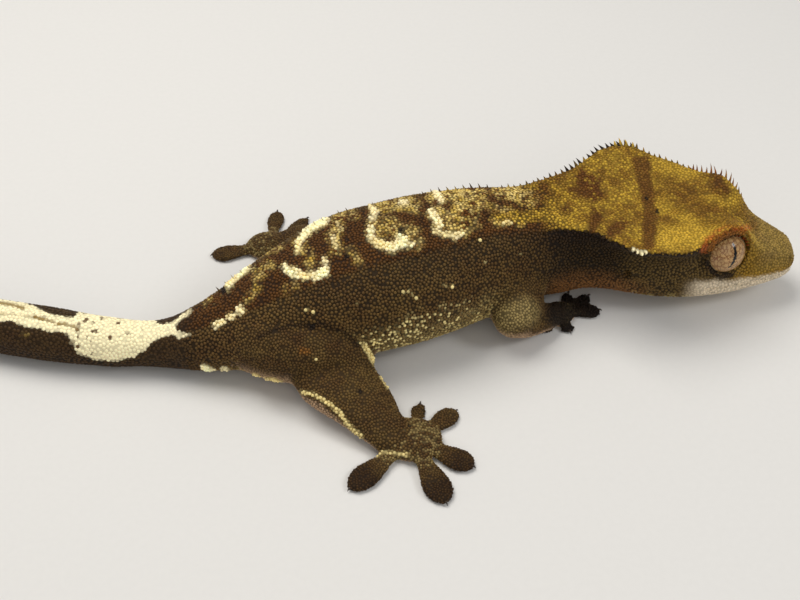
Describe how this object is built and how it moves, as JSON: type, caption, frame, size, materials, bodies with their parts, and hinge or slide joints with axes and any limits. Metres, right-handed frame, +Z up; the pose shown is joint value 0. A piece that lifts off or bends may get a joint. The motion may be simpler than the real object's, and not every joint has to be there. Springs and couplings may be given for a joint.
{
  "type": "crested gecko",
  "caption": "Life-size still model of an adult crested gecko lying with its head level, its toes spread and its tail curling out behind.",
  "frame": {"origin": "middle of the footprint on the floor, at the height of the floor", "axes": "+X towards the snout, +Y towards the animal's left, +Z up"},
  "size_m": [0.1868, 0.08, 0.0236],
  "materials": {
    "skin": "matte",
    "crown": "matte",
    "eye": "gloss"
  },
  "bodies": {
    "root": {"head": "crown", "eye_right": "eye", "eye_left": "eye", "neck": "crown", "torso": "skin", "tail_1": "skin", "tail_2": "skin", "tail_3": "skin", "tail_4": "skin", "hind_right_upper": "skin", "hind_right_lower": "skin", "hind_right_foot": "skin", "hind_left_upper": "skin", "hind_left_lower": "skin", "hind_left_foot": "skin", "fore_right_upper": "skin", "fore_right_lower": "skin", "fore_right_foot": "skin", "fore_left_upper": "skin", "fore_left_lower": "skin", "fore_left_foot": "skin"}
  },
  "joints": []
}
